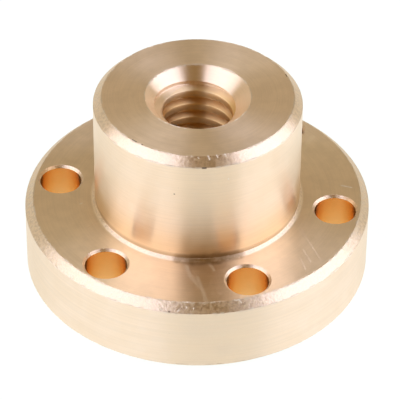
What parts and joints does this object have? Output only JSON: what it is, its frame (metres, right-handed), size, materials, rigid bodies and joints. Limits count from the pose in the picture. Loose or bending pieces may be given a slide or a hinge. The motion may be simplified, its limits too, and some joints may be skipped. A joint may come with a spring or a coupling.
{
  "type": "lead screw nut",
  "caption": "Round flanged bronze nut with a right-hand trapezoidal thread, held by bolts through its flange and driven along a lead screw.",
  "frame": {"origin": "centre of the bore, on the back face of the flange", "axes": "+Z along the bore towards the nose of the barrel; the first bolt hole lies on +X"},
  "size_m": [0.042, 0.042, 0.025],
  "materials": {
    "bronze": "turned bronze: satin faces with fine tool marks, brighter chamfers and edges"
  },
  "bodies": {
    "root": {"nut": "bronze"}
  },
  "joints": []
}
